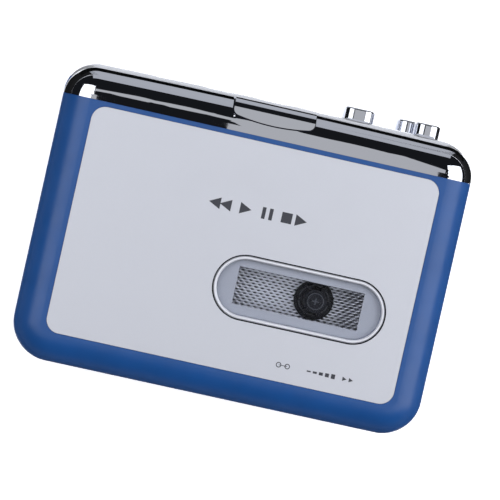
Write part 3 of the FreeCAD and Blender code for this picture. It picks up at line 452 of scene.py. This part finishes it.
def window_gap_shade(mats):
    """A black strip in the gap round the window's rim: painted shade that stands in for the shadowed
    groove.
    """
    low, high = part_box("window_ring")
    cx, cy = (low.x + high.x) / 2, (low.y + high.y) / 2
    outer = (high.y - low.y) / 2
    half = (high.x - low.x) / 2 - outer
    gap, slack = 0.35 * MM, 0.02 * MM

    def line(shape):
        gap_strip(shape, stadium(outer + slack, half, cx, cy),
                  stadium(outer + gap - slack, half, cx, cy),
                  lambda y: low.z + slack, lambda y: high.z - slack, True)

    piece("window_gap_shade", line, mats["gap_shade_black"], "door")


def tab_outline(grow, steps=10):
    """The pull tab's outline in metres, moved outwards by grow millimetres.

    It runs from the top of the right side, round the corner and along the bowed lower
    edge to the left.
    """
    high_y, low_y, side, corner, bow = 39.4, 34.6, 11.2, 1.75, 54
    cx, middle = side - corner, low_y + bow
    cy = middle - math.sqrt((bow - corner) ** 2 - cx * cx)
    lean = math.atan2(cy - middle, cx)
    right = [(cx + corner + grow, high_y)]
    for i in range(steps + 1):
        a = lean * i / steps
        right.append((cx + (corner + grow) * math.cos(a), cy + (corner + grow) * math.sin(a)))
    for i in range(1, 2 * steps):
        a = lean + (-math.pi / 2 - lean) * i / (2 * steps)
        right.append(((bow + grow) * math.cos(a), middle + (bow + grow) * math.sin(a)))
    lowest = [(0, low_y - grow)]
    return [(x * MM, y * MM) for x, y in right + lowest + [(-x, y) for x, y in right[::-1]]]


def tab_gap_shade(mats):
    """A black strip at the bottom of the groove round the pull tab: painted shade that stands in for the
    shadowed groove.
    """
    rounding, edge_y = 7.4 * MM, 40.1 * MM
    bottom, top = 0.6 * MM, 0.1 * MM

    def surface(y):
        """Height of the band's rounded front at y."""
        return FRONT_Z - rounding + math.sqrt(rounding ** 2 - (y - edge_y + rounding) ** 2)

    def line(shape):
        gap_strip(shape, tab_outline(0.02), tab_outline(0.33), lambda y: surface(y) - bottom,
                  lambda y: surface(y) - top, False)

    piece("tab_gap_shade", line, mats["gap_shade_black"], "door")


def spindle_rings(mats):
    """Raised rings on the flange and the cap of each reel spindle, and a cross on the cap."""
    flange_z, span, bar = 21.8 * MM, 1.9 * MM, 0.35 * MM
    for side, (cx, cy) in zip(("left", "right"), REELS):
        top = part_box(side + "_spindle")[1].z

        def rings(shape, cx=cx, cy=cy, top=top):
            ring(shape, cx, cy, 4.3 * MM, 3.95 * MM, flange_z - 0.02 * MM, flange_z + 0.15 * MM)
            ring(shape, cx, cy, 2.3 * MM, 2.05 * MM, top - 0.5 * MM, top - 0.15 * MM)
            z0, z1 = top - 0.05 * MM, top + 0.04 * MM
            prism(shape, oblong(cx, cy, span, bar), z0, z1)
            for way in (-1, 1):
                prism(shape, oblong(cx, cy + way * (span + bar) / 4, bar, (span - bar) / 2), z0, z1)

        piece(side + "_spindle_rings", rings, mats["spindle_rim"], "reel_" + side,
              0.04 * MM)


def key_marks(mats):
    """A sign on the end of each key, the right way round for someone facing the keys."""
    upright = Matrix(((1, 0, 0, 0), (0, 0, 1, 0), (0, 1, 0, 0), (0, 0, 0, 1)))
    ink, stop, play, arrow = 0.03 * MM, 1.9 * MM, 2.1 * MM, 1.8 * MM

    def two_arrows(x, z, way):
        return [triangle(x - arrow / 2, z, arrow, way), triangle(x + arrow / 2, z, arrow, way)]

    signs = {
        "stop": lambda x, z: [oblong(x, z, stop, stop)],
        "play": lambda x, z: [triangle(x, z, play, -1)],
        "rewind": lambda x, z: two_arrows(x, z, 1),
        "forward": lambda x, z: two_arrows(x, z, -1),
    }
    for name, outlines in signs.items():
        low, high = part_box(name + "_key")
        x, z = (low.x + high.x) / 2, (low.z + high.z) / 2

        def mark(shape, outlines=outlines, x=x, z=z, top=high.y):
            for outline in outlines(x, z):
                prism(shape, outline, top - ink, top, upright)

        piece(name + "_sign", mark, mats["key_mark"], name)


# -------------------------------------------------------------- stage and light

def sheet(name, corners, material):
    """A flat four-cornered sheet of the studio."""
    mesh = bpy.data.meshes.new(name)
    shape = bmesh.new()
    shape.faces.new([shape.verts.new(c) for c in corners])
    shape.to_mesh(mesh)
    shape.free()
    made = bpy.data.objects.new(name, mesh)
    mesh.materials.append(material)
    bpy.context.scene.collection.objects.link(made)
    return made


def card_paint(name, glow):
    """Paper of a studio card, dull and slightly uneven."""
    made = Paint(name, (CARD_GREY, CARD_GREY, CARD_GREY), 0.9, spec=0.1)
    made.vary_colour(made.noise(0.1, 2), 0.1)
    made.set("Emission Color", (0.93, 0.95, 1, 1))
    made.set("Emission Strength", glow)
    return made.mat


def for_shine_only(made):
    """Hides a sheet from everything but reflections."""
    made.visible_camera = False
    made.visible_diffuse = False
    made.visible_shadow = False
    made.visible_transmission = False


def card(name, corners, glow=0.0):
    """A card that only shiny surfaces see: black, or pale where it glows."""
    for_shine_only(sheet(name, corners, card_paint(name, glow)))


def floor_card(name, outline, glow=0.0):
    """A card that lies just above the floor."""
    card(name, [(x, y, CARD_Z) for x, y in outline], glow)


def wall_card(name, half, y, low, high, glow=0.0):
    """A card that stands across the player, between two heights."""
    card(name, [(-half, y, low), (half, y, low), (half, y, high), (-half, y, high)], glow)


def rim_light():
    """A glowing band just above the rim of the top panel, following its round corners."""
    paint = card_paint("rim_light", 0.74)
    corner_x, corner_y, level = 0.0482, 0.0313, 0.02305

    def edge(radius):
        """The rim's outline at a distance from the middles of its corners."""
        bend = [(corner_x + radius * math.sin(math.radians(t)),
                 corner_y + radius * math.cos(math.radians(t))) for t in range(80, -1, -10)]
        return bend + [(-x, y) for x, y in bend[::-1]]

    inner, outer = edge(0.009), edge(0.0103)
    for i in range(len(inner) - 1):
        corners = [(*spot, level) for spot in (inner[i], outer[i], outer[i + 1], inner[i + 1])]
        for_shine_only(sheet("rim_light_%02d" % i, corners, paint))


def studio():
    """A pale floor, pale cards behind the player, and black cards that line the chrome."""
    paper = Paint("floor", (0.93, 0.93, 0.94), 0.8, spec=0.2)
    paper.vary_colour(paper.noise(0.2, 3), 0.01)
    paper.set("Emission Color", (1, 1, 1, 1))
    paper.set("Emission Strength", 0.65)
    far, low = 1.6, -0.0002
    sheet("floor", [(-far, -far, low), (far, -far, low), (far, far, low), (-far, far, low)],
          paper.mat)
    beside, before, behind, reach, end = 0.066, -0.052, 0.06, 0.6, 1.2
    for name, side in (("left_floor_card", -1), ("right_floor_card", 1)):
        floor_card(name, [(side * beside, -reach), (side * beside, reach),
                          (side * end, reach), (side * end, -reach)][::side])
    floor_card("front_floor_card", [(-beside, -reach), (beside, -reach),
                                    (beside, before), (-beside, before)])
    back, tall = 0.2, 0.2
    floor_card("back_floor_card", [(-beside, behind), (beside, behind),
                                   (back, reach), (-back, reach)], PALE_GLOW)
    wall_card("back_card", back, reach, CARD_Z, tall, PALE_GLOW)
    door_top = 0.0403
    wall_card("seam_card", 0.057, door_top, 0.0232, 0.0303)
    wall_card("tab_card", 0.0114, door_top, 0.0303, 0.0329)
    rim_light()


def panel(name, place, aim, width, height, glow):
    """A rectangular light at a place, turned to face aim, with its width square to Y."""
    data = bpy.data.lights.new(name, "AREA")
    data.shape = "RECTANGLE"
    data.size, data.size_y = width, height
    data.energy = glow * math.pi * width * height
    lamp = bpy.data.objects.new(name, data)
    back = (Vector(place) - Vector(aim)).normalized()
    across = Vector((0, 1, 0)).cross(back).normalized()
    lamp.matrix_world = Matrix((across, back.cross(across), back)).transposed().to_4x4()
    lamp.matrix_world.translation = Vector(place)
    bpy.context.scene.collection.objects.link(lamp)


def soft_box(name, start, end, glow):
    """A soft box from one angle to another off the vertical, one metre from the player."""
    y, length, raised = 0.225, 1.05, 0.03
    ends = [Vector((math.sin(math.radians(a)), 0, math.cos(math.radians(a)))) for a in (start, end)]
    chord = (ends[1] - ends[0]).normalized()
    square_on = Vector((-chord.z, 0, chord.x))
    place = (ends[0] + ends[1]) / 2 + Vector((0, y, raised))
    panel(name, place, place - square_on, (ends[1] - ends[0]).length, length, glow)


def ceiling_panel(name, x, y, width, length):
    """A dim panel that looks straight down."""
    panel(name, (x, y, 1.06), (x, y, 0), width, length, PALE_GLOW)


def lights():
    """Two large soft boxes left and right, three dim panels overhead and a faint room."""
    soft_box("left_box", -52, -5.5, 2.3)
    soft_box("right_box", 16, 76, 2.7)
    ceiling_panel("over_right", 0.1145, 0.175, 0.133, 0.75)
    ceiling_panel("over_back", 0.065, 0.43, 0.232, 0.2)
    ceiling_panel("over_left", -0.045, 0.165, 0.022, 0.73)
    world = bpy.data.worlds.new("room")
    bpy.context.scene.world = world
    world.use_nodes = True
    ground = world.node_tree.nodes["Background"]
    ground.inputs["Color"].default_value = (0.80, 0.86, 1.0, 1)
    ground.inputs["Strength"].default_value = 0.015


def camera():
    """The photographer's viewpoint."""
    yaw, pitch, roll = (math.radians(v) for v in (YAW, PITCH, ROLL))
    back = Vector((-math.sin(yaw) * math.cos(pitch), math.sin(pitch),
                   math.cos(yaw) * math.cos(pitch)))
    right = (-back).cross(Vector((0, 1, 0))).normalized()
    up = right.cross(-back)
    side = right * math.cos(roll) + up * math.sin(roll)
    top = up * math.cos(roll) - right * math.sin(roll)
    place = Matrix((side, top, back)).transposed().to_4x4()
    place.translation = Vector(LOOK_AT) + back * DISTANCE
    data = bpy.data.cameras.new("camera")
    data.lens = LENS
    data.sensor_width = SENSOR
    data.clip_end = 10
    made = bpy.data.objects.new("camera", data)
    made.matrix_world = place
    bpy.context.scene.collection.objects.link(made)
    bpy.context.scene.camera = made


def dress_cad(frame, mats):
    """Gives every CAD node the material of its slot, or the finish set for it above."""
    for row in frame["record"]["subparts"]:
        node = frame["nodes"][row["node"]]
        node.data.materials.clear()
        finish = FINISH_OF.get(row["node"], row["material_slot"])
        node.data.materials.append(mats[finish])


def main():
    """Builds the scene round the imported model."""
    random.seed(SEED)
    scene = bpy.context.scene
    for thing in list(scene.collection.all_objects):
        bpy.data.objects.remove(thing)
    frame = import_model()
    mats = make_materials()
    dress_cad(frame, mats)
    mesh_panel(mats)
    printed_marks(mats)
    window_gap_shade(mats)
    tab_gap_shade(mats)
    spindle_rings(mats)
    key_marks(mats)
    studio()
    lights()
    camera()
    scene.view_settings.view_transform = "Standard"


main()
